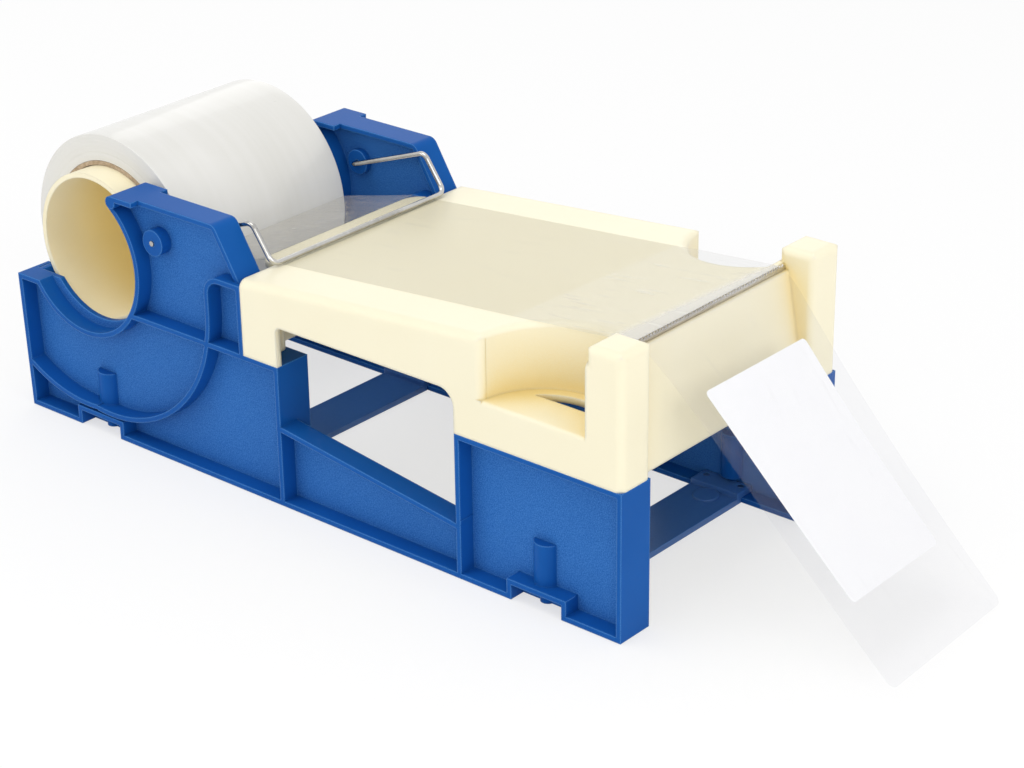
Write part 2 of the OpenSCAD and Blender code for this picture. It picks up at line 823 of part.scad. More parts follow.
// Bend of the wire at a corner, from the run along u to the run along v
module wire_turn(corner, u, v) {
  turn = acos(u * v);
  back = wire_bend * tan(turn / 2);
  n = unit(cross(u, v));
  out = cross(u, n);
  c = corner - back * u - wire_bend * out;
  multmatrix([[out.x, u.x, n.x, c.x], [out.y, u.y, n.y, c.y], [out.z, u.z, n.z, c.z], [0, 0, 0, 1]])
    rotate_extrude(angle = turn) translate([wire_bend, 0]) circle(wire_r + eps);
}

// Wire bent through a row of points
module wire(path) {
  last = len(path) - 1;
  way = [for (i = [0 : last - 1]) unit(path[i + 1] - path[i])];
  cut = [for (i = [0 : last])
           i == 0 || i == last ? 0 : wire_bend * tan(acos(way[i - 1] * way[i]) / 2) - wire_lap];
  for (i = [0 : last - 1]) {
    wire_run(path[i] + cut[i] * way[i], path[i + 1] - cut[i + 1] * way[i]);
  }
  for (i = [1 : last - 1]) {
    wire_turn(path[i], way[i - 1], way[i]);
  }
}

module wire_bail() {
  end_y = y_web + web_t / 2 + pivot_boss_h + wire_out;
  color([0.72, 0.72, 0.70])
    wire([[x_pivot, -end_y, pivot_h], [x_pivot, -y_arm, pivot_h], [x_shoulder, -y_arm, shoulder_wire_h],
          [x_cross, -y_arm, cross_h], [x_cross, y_arm, cross_h], [x_shoulder, y_arm, shoulder_wire_h],
          [x_pivot, y_arm, pivot_h], [x_pivot, end_y, pivot_h]]);
}

// Ring about the Y axis at a height over the hub's place
module ring(z, r_out, r_in, w) {
  translate([x_hub, 0, z]) rotate([90, 0, 0]) difference() {
    cylinder(h = w, r = r_out, center = true);
    cylinder(h = w + 1, r = r_in, center = true);
  }
}

module hub_tube() {
  color([0.93, 0.91, 0.82]) ring(hub_h, tube_r, tube_r - tube_wall, tube_len);
}

module paper_core() {
  color([0.78, 0.70, 0.60]) ring(roll_h, core_r + core_wall, core_r, film_w);
}

module tape_roll() {
  color([0.86, 0.86, 0.84]) ring(roll_h, roll_r, core_r + core_wall, film_w);
}

// Free film from the roll to the tongue
module tape_web() {
  color([0.85, 0.88, 0.90, 0.5]) across(-film_w / 2, film_w / 2)
    polygon([peel, [x_tongue, film_z], [x_tongue, film_z + film_t], peel + [0, film_t]]);
}

// Film on the table, up to the cutter
module tape_strip() {
  x_end = x_blade + blade_t / 2;
  end_z = table_z(x_end) + film_gap;
  color([0.85, 0.88, 0.90, 0.5]) across(-film_w / 2, film_w / 2)
    polygon([[x_tongue, film_z], [x_end, end_z], [x_end, end_z + film_t], [x_tongue, film_z + film_t]]);
}

// Edges of the hanging film: the near edge ends lifted, the far edge on the bench
tail_a = [x_blade + blade_t / 2 + film_t / 2, table_z(x_blade + blade_t / 2) + film_gap + film_t / 2];
near_edge = [tail_a, tail_a + [near_out, -near_dip], tail_a + [near_bend_out, -near_bend_drop],
             [tail_a.x + tail_reach, tail_lift]];
far_edge = [tail_a, tail_a + [far_out, -far_dip], tail_a + [far_bend_out, -far_bend_drop],
            [tail_a.x + tail_reach - tail_skew, tail_floor + film_t]];

// Point and direction of a four-point curve
function curve(p, t) = pow(1 - t, 3) * p[0] + 3 * pow(1 - t, 2) * t * p[1]
                     + 3 * (1 - t) * t * t * p[2] + pow(t, 3) * p[3];
function along(p, t) = unit((1 - t) * (1 - t) * (p[1] - p[0]) + 2 * (1 - t) * t * (p[2] - p[1])
                            + t * t * (p[3] - p[2]));
// Point on the film at a share t along it and a place y across it, raised by d
function tail_point(t, y, d) =
  let (k = y / film_w + 0.5,
       q = (1 - k) * curve(near_edge, t) + k * curve(far_edge, t),
       w = unit((1 - k) * along(near_edge, t) + k * along(far_edge, t)))
  [q.x - w.y * d, y, q.y + w.x * d];
// Length along the film's middle, listed against the share t
function mid_step(i) = norm(tail_point((i + 1) / 40, 0, 0) - tail_point(i / 40, 0, 0));
function mid_run(i, sum) = i > 40 ? [] : concat([[sum, i / 40]], mid_run(i + 1, sum + mid_step(i)));
mid_table = mid_run(0, 0);

// Thin bent sheet: rows of [[left t, left y], [right t, right y]], between two heights over the film
module bent_sheet(rows, d0, d1) {
  n = len(rows);
  points = [for (r = rows) each [tail_point(r[0][0], r[0][1], d1), tail_point(r[1][0], r[1][1], d1),
                                 tail_point(r[1][0], r[1][1], d0), tail_point(r[0][0], r[0][1], d0)]];
  sides = [for (i = [0 : n - 2], k = [0 : 3])
             let (a = 4 * i + k, b = 4 * i + (k + 1) % 4)
               each k == 2 ? [[a, b, a + 4], [b, b + 4, a + 4]] : [[a, b, b + 4], [a, b + 4, a + 4]]];
  ends = [[2, 1, 0], [3, 2, 0], [4 * n - 4, 4 * n - 3, 4 * n - 2], [4 * n - 4, 4 * n - 2, 4 * n - 1]];
  polyhedron(points = points, faces = concat(sides, ends));
}

// How far a round corner of radius r pulls the edge in, at a distance e from the end
function corner_in(e, r) = e < r ? r - sqrt(r * r - pow(r - e, 2)) : 0;

module tape_tail() {
  tail_len = mid_table[40][0];
  even = [for (i = [0 : 35]) (tail_len - tail_r) * i / 35];
  rounded = [for (i = [1 : 4]) tail_len - tail_r * (1 - sin(22.5 * i))];
  rows = [for (s = concat(even, rounded))
            [for (k = [-1, 1]) [lookup(s, mid_table), k * (film_w / 2 - corner_in(tail_len - s, tail_r))]]];
  color([0.85, 0.88, 0.90, 0.5]) bent_sheet(rows, -film_t / 2, film_t / 2);
}

// Label under the hanging film, with round corners
module label() {
  r = label_r;
  arc = [for (i = [0 : 4]) r * (1 - cos(22.5 * i))];
  mid = [for (i = [1 : 13]) r + (label_len - 2 * r) * i / 14];
  back = [for (i = [4 : -1 : 0]) label_len - arc[i]];
  rows = [for (s = concat(arc, mid, back))
            let (h = label_w / 2 - corner_in(min(s, label_len - s), r))
            [for (y = [-h, h]) [lookup(label_start + s + y * tan(label_turn), mid_table), y]]];
  color([0.97, 0.97, 0.96])
    bent_sheet(rows, -film_t / 2 - label_gap - label_t, -film_t / 2 - label_gap);
}

left_side_panel();
right_side_panel();
front_cross_bar();
rear_cross_bar();
front_bar_screws();
rear_bar_screws();
top_cover();
cover_screws();
cutter_blade();
wire_bail();
hub_tube();
paper_core();
tape_roll();
tape_web();
tape_strip();
tape_tail();
label();
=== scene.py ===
import math

import bpy
import numpy as np
from mathutils import Matrix


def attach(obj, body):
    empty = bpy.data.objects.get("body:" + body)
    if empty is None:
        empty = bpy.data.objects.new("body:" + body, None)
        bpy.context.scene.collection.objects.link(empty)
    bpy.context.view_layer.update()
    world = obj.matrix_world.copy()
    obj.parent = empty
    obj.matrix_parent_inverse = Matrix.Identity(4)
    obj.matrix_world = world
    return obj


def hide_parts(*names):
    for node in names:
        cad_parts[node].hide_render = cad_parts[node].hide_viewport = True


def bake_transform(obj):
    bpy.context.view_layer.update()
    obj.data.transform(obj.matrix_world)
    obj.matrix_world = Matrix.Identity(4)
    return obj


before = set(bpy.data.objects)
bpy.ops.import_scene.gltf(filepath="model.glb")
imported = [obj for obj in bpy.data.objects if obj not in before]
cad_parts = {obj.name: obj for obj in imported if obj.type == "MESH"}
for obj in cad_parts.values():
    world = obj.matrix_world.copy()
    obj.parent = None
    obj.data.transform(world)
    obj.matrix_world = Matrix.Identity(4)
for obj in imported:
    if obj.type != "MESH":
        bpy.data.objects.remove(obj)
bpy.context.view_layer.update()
print("frame loaded:", len(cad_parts), "nodes")

white = (1, 1, 1, 1)


def linear(red, green, blue):
    # screen colour from 0 to 255 as the linear colour that a shader takes
    def one(c):
        c = c / 255
        return c / 12.92 if c <= 0.04045 else ((c + 0.055) / 1.055) ** 2.4
    return (one(red), one(green), one(blue), 1.0)


class Link:
    # one socket of a material's tree; an expression on links adds Math nodes
    def __init__(self, tree, socket=None):
        self.tree, self.socket = tree, socket

    def make(self, kind, settings=None, inputs=None, out=0):
        node = self.tree.nodes.new(kind)
        for name, value in (settings or {}).items():
            setattr(node, name, value)
        for name, value in (inputs or {}).items():
            if isinstance(value, Link):
                self.tree.links.new(value.socket, node.inputs[name])
            else:
                node.inputs[name].default_value = value
        return Link(self.tree, node.outputs[out] if node.outputs else None)

    def maths(self, operation, a, b=0.0):
        return self.make("ShaderNodeMath", {"operation": operation}, {0: a, 1: b})

    def __add__(self, other):
        return self.maths("ADD", self, other)

    def __radd__(self, other):
        return self.maths("ADD", other, self)

    def __sub__(self, other):
        return self.maths("SUBTRACT", self, other)

    def __rsub__(self, other):
        return self.maths("SUBTRACT", other, self)

    def __mul__(self, other):
        return self.maths("MULTIPLY", self, other)

    def __rmul__(self, other):
        return self.maths("MULTIPLY", other, self)

    def __pow__(self, other):
        return self.maths("POWER", self, other)

    def __abs__(self):
        return self.maths("ABSOLUTE", self)

    def clip(self, low=0.0, high=1.0):
        return self.maths("MINIMUM", self.maths("MAXIMUM", self, low), high)

    def swing(self):
        # a noise about its middle value
        return self - 0.5

    def ramp(self, low, high):
        # 0 below low, 1 above high, smooth between
        return self.make("ShaderNodeMapRange", {"interpolation_type": "SMOOTHSTEP"},
                         {"Value": self, "From Min": low, "From Max": high})

    def mix(self, factor, a, b):
        return self.make("ShaderNodeMix", {"data_type": "RGBA"}, {0: factor, 6: a, 7: b}, 2)

    def place(self, scale=(1, 1, 1), shift=(0, 0, 0), turn=(0, 0, 0)):
        # Object coordinates, stretched, turned and shifted
        coords = self.make("ShaderNodeTexCoord", out="Object")
        return self.make("ShaderNodeMapping", None,
                         {"Vector": coords, "Scale": scale, "Location": shift, "Rotation": turn})

    def part(self, vector, axis):
        return self.make("ShaderNodeSeparateXYZ", None, {0: vector}, axis)

    def noise(self, vector, scale, detail=2.0, rough=0.5):
        return self.make("ShaderNodeTexNoise", None,
                         {"Vector": vector, "Scale": scale, "Detail": detail, "Roughness": rough})

    def softEdge(self, radius, samples=6):
        return self.make("ShaderNodeBevel", {"samples": samples}, {"Radius": radius})

    def edgeMask(self, bevel, gain):
        # 0 on flat faces, up to 1 on edges
        normal = self.make("ShaderNodeNewGeometry", out="Normal")
        same = self.make("ShaderNodeVectorMath", {"operation": "DOT_PRODUCT"},
                         {0: bevel, 1: normal}, "Value")
        return ((1.0 - same) * gain).clip()

    def openness(self, reach, samples=4):
        # 1 on open faces, lower in corners
        return self.make("ShaderNodeAmbientOcclusion", {"samples": samples, "only_local": True},
                         {"Distance": reach}, "AO")

    def bump(self, height, strength, distance, normal=None):
        inputs = {"Height": height, "Strength": strength, "Distance": distance}
        if normal:
            inputs["Normal"] = normal
        return self.make("ShaderNodeBump", None, inputs)


def finish(name):
    # an empty material and the link that starts its expressions
    material = bpy.data.materials.new(name)
    material.use_nodes = True
    material.node_tree.nodes.clear()
    return material, Link(material.node_tree)


def output(start, surface):
    start.make("ShaderNodeOutputMaterial", None, {"Surface": surface})


def shade(start, inputs):
    output(start, start.make("ShaderNodeBsdfPrincipled", None, inputs))


def addObject(name, data):
    added = bpy.data.objects.new(name, data)
    bpy.context.scene.collection.objects.link(added)
    return added


def axesMatrix(right, up, back, place):
    # where a camera or lamp stands; it looks against back
    matrix = np.eye(4)
    matrix[:3] = np.stack([right, up, back, place], 1)
    return Matrix(matrix.tolist())


# camera, floor and light

photoCamera = dict(place=(0.7472, -0.8017, 0.5487), yaw=40.599, pitch=25.101, roll=0.790,
                   focalPx=2618.15, widthPx=1024, sensor=36.0, clipNear=0.01, clipFar=50)


def makeCamera(c):
    # degrees: yaw turns from +Y towards -X, pitch looks down
    yaw, pitch, roll = (math.radians(c[k]) for k in ("yaw", "pitch", "roll"))
    ahead = np.array([-math.sin(yaw) * math.cos(pitch), math.cos(yaw) * math.cos(pitch), -math.sin(pitch)])
    level = np.cross(ahead, [0, 0, 1])
    level /= np.linalg.norm(level)
    down = np.cross(ahead, level)
    right = math.cos(roll) * level + math.sin(roll) * down
    up = math.sin(roll) * level - math.cos(roll) * down
    data = bpy.data.cameras.new("photoCamera")
    data.sensor_width = c["sensor"]
    data.sensor_fit = "HORIZONTAL"
    data.lens = c["focalPx"] / c["widthPx"] * c["sensor"]
    data.clip_start, data.clip_end = c["clipNear"], c["clipFar"]
    camera = addObject("photoCamera", data)
    camera.matrix_world = axesMatrix(right, up, -ahead, c["place"])
    bpy.context.scene.camera = camera


makeCamera(photoCamera)

studio = dict(floorSize=12.0, floorAt=-0.0004, floorColour=(0.97, 0.97, 0.97, 1), floorGlow=0.65,
              worldLight=0.70, lamps=dict(
                  keyBox=dict(place=(-0.3, -0.5, 2.0), target=(0.0, 0.0, 0.05), size=1.3, power=10.8),
                  backBox=dict(place=(-1.3, 1.7, 0.95), target=(-0.1, 0.0, 0.1), size=1.2, power=2.6),
                  leftBox=dict(place=(-1.3, -1.8, 0.9), target=(0.0, 0.0, 0.08), size=0.8, power=3.2),
                  frontBox=dict(place=(1.9, -0.2, 1.0), target=(0.0, 0.0, 0.08), size=1.0, power=7.0),
                  fillBox=dict(place=(1.3, -1.4, 1.0), target=(0.0, 0.0, 0.08), size=0.8, power=5.4)))


def directlySeen(start):
    # 1 where the camera, a gloss or a clear piece sees it, 0 for the light that it casts
    rays = ("Is Camera Ray", "Is Glossy Ray", "Is Transmission Ray")
    camera, glossy, through = (start.make("ShaderNodeLightPath", out=ray) for ray in rays)
    return (camera + glossy + through).clip()


def makeWorld(c):
    world = bpy.data.worlds.new("studioWorld")
    world.use_nodes = True
    world.node_tree.nodes.clear()
    start = Link(world.node_tree)
    strength = directlySeen(start) * (1.0 - c["worldLight"]) + c["worldLight"]
    back = start.make("ShaderNodeBackground", None, {"Color": white, "Strength": strength})
    start.make("ShaderNodeOutputWorld", None, {"Surface": back})
    bpy.context.scene.world = world


def makeFloor(c):
    half, low = c["floorSize"] / 2, c["floorAt"]
    corners = [(-half, -half, low), (half, -half, low), (half, half, low), (-half, half, low)]
    mesh = bpy.data.meshes.new("studioFloor")
    mesh.from_pydata(corners, [], [(0, 1, 2, 3)])
    material, start = finish("studioFloor")
    plain = start.make("ShaderNodeBsdfDiffuse", None, {"Color": c["floorColour"]})
    glow = start.make("ShaderNodeEmission", None, {"Color": white, "Strength": 1.0})
    glowing = directlySeen(start) * c["floorGlow"]
    top = start.make("ShaderNodeMixShader", None, {0: glowing, 1: plain, 2: glow})
    under = start.make("ShaderNodeBsdfTransparent", None, {"Color": white})
    below = start.make("ShaderNodeNewGeometry", out="Backfacing")  # seen from below, the floor is clear
    output(start, start.make("ShaderNodeMixShader", None, {0: below, 1: top, 2: under}))
    mesh.materials.append(material)
    floor = addObject("studioFloor", mesh)


def makeLamps(c):
    for name, lamp in c["lamps"].items():
        data = bpy.data.lights.new(name, "AREA")
        data.shape, data.size, data.energy = "SQUARE", lamp["size"], lamp["power"]
        back = np.array(lamp["place"]) - np.array(lamp["target"])
        back /= np.linalg.norm(back)
        side = np.cross([0, 0, 1], back)
        side /= np.linalg.norm(side)
        addObject(name, data).matrix_world = axesMatrix(side, np.cross(back, side), back, lamp["place"])


makeWorld(studio)
makeFloor(studio)
makeLamps(studio)
bpy.context.scene.view_settings.view_transform = "Standard"
print("camera, floor and lamps made")


# finishes of the moulded, metal and paper pieces; a span is where a mask starts and where it is full

mouldedLook = dict(edgeSpan=(0.8, 0.97), cornerSpan=(0.4, 0.95), cloudSpan=(0.3, 0.7), grainSpan=(0.2, 0.8),
                   facingSpan=(0.6, 0.9), edgeReach=2, speckShare=0.31, webFade=0.0003, deepFade=0.0004,
                   leastRough=0.05, ior=1.48)


def webMask(start, c):
    # 1 on the panels' flat webs, which have a fine grain, 0 on their flanges and ribs
    off = abs(abs(start.part(start.place(), "Y")) - c["webAt"])
    facing = abs(start.part(start.make("ShaderNodeTexCoord", out="Normal"), "Y"))
    return (1.0 - off.ramp(c["webHalf"], c["webHalf"] + c["webFade"])) * facing.ramp(*c["facingSpan"])


def boreShadeMask(start, c):
    # 1 on the tube's bore, fading towards its ends: where shade is painted deep inside the tube
    radius = start.make("ShaderNodeVectorMath", {"operation": "LENGTH"},
                        {0: start.place((1, 0, 1), c["deepShift"])}, "Value")
    depth = abs(start.part(start.place(), "Y"))
    inside = 1.0 - radius.ramp(c["deepFrom"], c["deepFrom"] + c["deepFade"])
    return inside * (1.0 - depth.ramp(*c["deepAlong"]))


def mouldedPlastic(name, c):
    # moulded plastic: fine grain on the textured faces, flow clouds, soft edges with a painted highlight,
    # painted shade in the corners and, for the tube, painted shade deep in its bore
    material, start = finish(name)
    bevel = start.softEdge(c["edge"])
    # edge: mask of the convex soft edges, where a highlight is painted into the colour and the roughness is
    # lowered
    openEdge = start.openness(c["edge"] * c["edgeReach"])
    edge = start.edgeMask(bevel, c["edgeGain"]) * openEdge.ramp(*c["edgeSpan"])
    # corner: mask of the concave corners and recesses, where shade is painted into the colour
    corner = 1.0 - start.openness(c["cornerReach"]).ramp(*c["cornerSpan"])
    clouds = start.noise(start.place(), c["cloudScale"], detail=3.0)
    grain = start.noise(start.place(), c["grainScale"], rough=0.6)
    specks = start.noise(start.place(), c["grainScale"] * c["speckShare"], detail=1.0)
    grained = webMask(start, c) if "webAt" in c else 1.0
    colour = start.mix(clouds.ramp(*c["cloudSpan"]), c["colour"], c["cloud"])
    grainShare = (grain.ramp(*c["grainSpan"]) * grained * c["grainTint"]).clip()
    colour = start.mix(grainShare, colour, c["grainColour"])
    # painted shade deep in the tube's bore
    if "paintedBoreShade" in c:
        colour = start.mix(boreShadeMask(start, c), colour, c["paintedBoreShade"])
    # painted shade in the corners
    colour = start.mix(corner * c["paintedShadeTint"], colour, c["paintedShadeColour"])
    # painted highlight along the edges
    colour = start.mix(edge * c["paintedHighlightTint"], colour, c["paintedHighlightColour"])
    shine = c["smooth"] + grained * (c["rough"] - c["smooth"])
    shine = shine + specks.swing() * c["roughSpread"] - edge * c["edgePolish"]
    normal = start.bump(grain * grained, c["bump"], c["grainDepth"], bevel)
    shade(start, {"Base Color": colour, "Roughness": shine.clip(c["leastRough"], 1), "Normal": normal,
                  "IOR": c["ior"], "Specular IOR Level": c["specular"]})
    return material


panelBlue = mouldedPlastic("panelBlue", dict(
    mouldedLook, colour=linear(18, 83, 160), cloud=linear(22, 89, 167), cloudScale=14.0,
    grainColour=linear(98, 164, 236), grainTint=0.44, grainScale=1900.0, grainDepth=0.00025, bump=0.25,
    paintedHighlightColour=linear(92, 156, 226), paintedHighlightTint=0.85, edge=0.0012, edgeGain=3.0, edgePolish=0.08,
    paintedShadeColour=linear(12, 58, 124), paintedShadeTint=0.3, cornerReach=0.004,
    rough=0.5, smooth=0.36, roughSpread=0.05, specular=0.07, webAt=0.066, webHalf=0.0016))
# the cross bars' own blue, lightened as painted fill light for where they sit in the shade under the cover
barBluePaintedFill = mouldedPlastic("barBluePaintedFill", dict(
    mouldedLook, colour=linear(58, 104, 170), cloud=linear(63, 109, 176), cloudScale=18.0,
    grainColour=linear(80, 126, 192), grainTint=0.18, grainScale=1200.0, grainDepth=0.0001, bump=0.2,
    paintedHighlightColour=linear(70, 130, 205), paintedHighlightTint=0.6, edge=0.0008, edgeGain=3.0, edgePolish=0.08,
    paintedShadeColour=linear(36, 78, 140), paintedShadeTint=0.4, cornerReach=0.004,
    rough=0.38, smooth=0.38, roughSpread=0.14, specular=0.4))
# painted shade: a full-strength yellow darkening reaching 30 mm into the cover's corners and recesses
coverCream = mouldedPlastic("coverCream", dict(
    mouldedLook, colour=linear(247, 240, 212), cloud=linear(245, 237, 207), cloudScale=9.0,
    grainColour=linear(250, 244, 222), grainTint=0.12, grainScale=900.0, grainDepth=0.0001, bump=0.05,
    paintedHighlightColour=linear(254, 252, 240), paintedHighlightTint=0.85, edge=0.0022, edgeGain=2.0, edgePolish=0.1,
    paintedShadeColour=linear(238, 214, 142), paintedShadeTint=1.0, cornerReach=0.03,
    rough=0.34, smooth=0.34, roughSpread=0.08, specular=0.4))
tubeCream = mouldedPlastic("tubeCream", dict(
    mouldedLook, colour=linear(249, 240, 208), cloud=linear(246, 234, 196), cloudScale=16.0,
    grainColour=linear(251, 244, 218), grainTint=0.12, grainScale=700.0, grainDepth=0.0001, bump=0.05,
    paintedHighlightColour=linear(253, 249, 232), paintedHighlightTint=0.4, edge=0.0009, edgeGain=2.0, edgePolish=0.05,
    paintedShadeColour=linear(240, 224, 176), paintedShadeTint=0.3, cornerReach=0.004,
    rough=0.38, smooth=0.38, roughSpread=0.08, specular=0.4,
    paintedBoreShade=linear(249, 229, 164), deepFrom=0.0348, deepShift=(0.142, 0, -0.088), deepAlong=(0.02, 0.059)))

drawnLook = dict(tarnishSpan=(0.35, 0.7), markSpan=(0.5, 0.8), markDepth=0.00005, leastRough=0.04)


def drawnSteel(name, c):
    # steel with fine marks along one direction and a little tarnish
    material, start = finish(name)
    marks = start.noise(start.place(c["stretch"]), c["markScale"], detail=3.0, rough=0.6)
    tarnish = start.noise(start.place(), c["tarnishScale"], detail=3.0)
    colour = start.mix(tarnish.ramp(*c["tarnishSpan"]) * c["tarnish"], c["colour"], c["tarnishColour"])
    colour = start.mix(marks.ramp(*c["markSpan"]) * c["markTint"], colour, c["markColour"])
    normal = start.bump(marks, c["bump"], c["markDepth"], start.softEdge(c["edge"]))
    rough = (c["rough"] + marks.swing() * c["roughSpread"]).clip(c["leastRough"], 1)
    shade(start, {"Base Color": colour, "Metallic": 1.0, "Normal": normal, "Roughness": rough})
    return material


wireSteel = drawnSteel("wireSteel", dict(
    drawnLook, colour=linear(200, 199, 196), tarnishColour=linear(146, 144, 138), tarnish=0.5,
    tarnishScale=60.0, markColour=linear(232, 232, 230), markTint=0.3, markScale=900.0, stretch=(1, 1, 1),
    bump=0.08, edge=0.0002, rough=0.14, roughSpread=0.1))
bladeSteel = drawnSteel("bladeSteel", dict(
    drawnLook, colour=linear(206, 204, 202), tarnishColour=linear(160, 152, 140), tarnish=0.5,
    tarnishScale=30.0, markColour=linear(240, 240, 242), markTint=0.6, markScale=120.0, stretch=(6, 1, 6),
    bump=0.12, edge=0.00015, rough=0.24, roughSpread=0.16))
screwSteel = drawnSteel("screwSteel", dict(
    drawnLook, colour=linear(190, 190, 192), tarnishColour=linear(140, 138, 134), tarnish=0.6,
    tarnishScale=200.0, markColour=linear(225, 225, 226), markTint=0.3, markScale=700.0, stretch=(1, 1, 6),
    bump=0.1, edge=0.0002, rough=0.32, roughSpread=0.2))


def kraftBoard(name, c):
    # grey-brown board: short fibres and a few darker flecks
    material, start = finish(name)
    fibre = start.noise(start.place(c["stretch"]), c["fibreScale"], detail=4.0, rough=0.65)
    fleck = start.noise(start.place(), c["fleckScale"])
    colour = start.mix(fibre.ramp(*c["fibreSpan"]), c["dark"], c["pale"])
    colour = start.mix(fleck.ramp(*c["fleckSpan"]) * c["fleckTint"], colour, c["fleck"])
    shade(start, {"Base Color": colour, "Roughness": c["rough"], "Specular IOR Level": c["specular"],
                  "Normal": start.bump(fibre, c["bump"], c["fibreDepth"])})
    return material


coreBoard = kraftBoard("coreBoard", dict(
    dark=linear(170, 148, 122), pale=linear(203, 184, 160), fibreScale=500.0, fibreSpan=(0.3, 0.75),
    stretch=(1, 7, 1), fleck=linear(126, 104, 82), fleckScale=420.0, fleckSpan=(0.66, 0.74), fleckTint=0.5,
    bump=0.35, fibreDepth=0.0002, rough=0.85, specular=0.25))


def labelStock(name, c):
    # smooth white paper: faint fibre mottle
    material, start = finish(name)
    fibre = start.noise(start.place(), c["fibreScale"], detail=4.0, rough=0.6)
    cloud = start.noise(start.place(), c["cloudScale"])
    colour = start.mix(fibre.ramp(*c["fibreSpan"]), c["colour"], c["fibre"])
    colour = start.mix(cloud.ramp(*c["cloudSpan"]) * c["cloudTint"], colour, c["cloud"])
    shade(start, {"Base Color": colour, "Roughness": (c["rough"] + fibre.swing() * c["roughSpread"]).clip(),
                  "Specular IOR Level": c["specular"],
                  "Normal": start.bump(fibre, c["bump"], c["fibreDepth"])})
    return material


labelPaper = labelStock("labelPaper", dict(
    colour=linear(254, 254, 254), fibre=linear(252, 252, 252), fibreScale=1400.0, fibreSpan=(0.3, 0.7),
    cloud=linear(251, 251, 252), cloudScale=40.0, cloudSpan=(0.35, 0.7), cloudTint=0.5,
    bump=0.1, fibreDepth=0.00006, rough=0.55, roughSpread=0.2, specular=0.35))


# finishes of the film

def clearFilm(name, c):
    # thin clear film: see-through, greyer where it sticks, hazy in the creases, hazier at a low angle
    material, start = finish(name)
    streaks = start.noise(start.place(c["stretch"]), c["streakScale"], detail=3.0, rough=0.6)
    cloud = start.noise(start.place(), c["cloudScale"])
    low = start.make("ShaderNodeLayerWeight", None, {"Blend": c["facing"]}, "Facing")
    along = start.part(start.place(turn=(0, 0, c["slant"])), "X")
    loose = along.ramp(c["looseFrom"], c["looseFrom"] + c["looseFade"])
    rise = along.ramp(c["riseFrom"], c["riseFrom"] + c["riseFade"])
    streaky = streaks.ramp(*c["streakSpan"]) * (c["streakHaze"] + loose * c["looseStreak"])
    haze = (c["haze"] + streaky + cloud.swing() * c["cloudHaze"] + low ** c["edgePower"] * c["edgeHaze"]
            + loose * c["looseHaze"] + rise * c["riseHaze"]).clip()
    stuck = start.make("ShaderNodeBsdfTransparent", None, {"Color": c["stuck"]})
    clear = start.make("ShaderNodeBsdfTransparent", None, {"Color": c["clear"]})
    clear = start.make("ShaderNodeMixShader", None, {0: loose, 1: stuck, 2: clear})
    skin = start.make("ShaderNodeBsdfPrincipled", None, {
        "Base Color": start.mix(cloud.ramp(*c["cloudSpan"]), c["colour"], c["cloudColour"]),
        "Roughness": (c["rough"] + cloud.swing() * c["roughSpread"]).clip(c["leastRough"], 1),
        "IOR": c["ior"], "Specular IOR Level": c["specular"],
        "Normal": start.bump(streaks, c["bump"], c["streakDepth"])})
    output(start, start.make("ShaderNodeMixShader", None, {0: haze, 1: clear, 2: skin}))
    return material


filmLook = dict(stretch=(1, 6, 1), streakScale=40.0, streakSpan=(0.55, 0.8), streakHaze=0.03,
                streakDepth=0.0003, cloudScale=22.0, cloudSpan=(0.3, 0.7), cloudHaze=0.02, haze=0.025,
                facing=0.3, edgePower=3.0, edgeHaze=0.12, slant=0.0,
                stuck=(0.945, 0.943, 0.932, 1), clear=(0.952, 0.952, 0.949, 1),
                looseFrom=0.1065, looseFade=0.0025, looseHaze=0.02, looseStreak=0.0,
                riseFrom=9.0, riseFade=0.006, riseHaze=0.0,
                colour=linear(240, 239, 238), cloudColour=linear(245, 245, 246),
                rough=0.12, roughSpread=0.06, leastRough=0.03, ior=1.5, specular=0.6, bump=0.15)
allLoose = dict(looseFrom=-1.0, looseHaze=0.0)  # starts behind the whole object, so none of it is stuck
filmTable = clearFilm("filmTable", dict(
    filmLook, slant=math.radians(4), looseStreak=0.14, riseFrom=0.1555, riseHaze=0.3))
filmTail = clearFilm("filmTail", dict(
    filmLook, **allLoose, haze=0.02, streakHaze=0.02, clear=(0.975, 0.975, 0.98, 1)))
filmWeb = clearFilm("filmWeb", dict(
    filmLook, **allLoose, stretch=(1, 9, 1), streakScale=60.0, streakHaze=0.3, haze=0.12, bump=0.3,
    clear=(0.99, 0.985, 0.97, 1), colour=linear(250, 245, 234), cloudColour=linear(252, 248, 240)))


def woundFilm(name, c):
    # many turns of clear film: milky, glossy, with faint bands round the roll and trapped air, and a painted
    # glow for the light that passes through the film
    material, start = finish(name)
    bands = start.noise(start.place(c["bandStretch"]), c["bandScale"], detail=3.0, rough=0.6)
    air = start.noise(start.place(), c["airScale"], detail=3.0)
    turns = start.noise(start.place(c["turnStretch"]), c["turnScale"])
    colour = start.mix(bands.ramp(*c["bandSpan"]), c["colour"], c["band"])
    colour = start.mix(air.ramp(*c["airSpan"]) * c["airTint"], colour, c["air"])
    rough = c["rough"] + air.swing() * c["roughSpread"] + turns.swing() * c["turnSpread"]
    shade(start, {"Base Color": colour, "Roughness": rough.clip(c["leastRough"], 1),
                  "IOR": c["ior"], "Specular IOR Level": c["specular"],
                  "Coat Weight": (c["coat"] + air.swing() * c["coatSpread"]).clip(),
                  "Coat Roughness": c["coatRough"],
                  # painted glow: the film's colour given off as light, standing in for light through the
                  # roll
                  "Emission Color": colour, "Emission Strength": c["glow"],
                  "Normal": start.bump(bands, c["bump"], c["bandDepth"])})
    return material


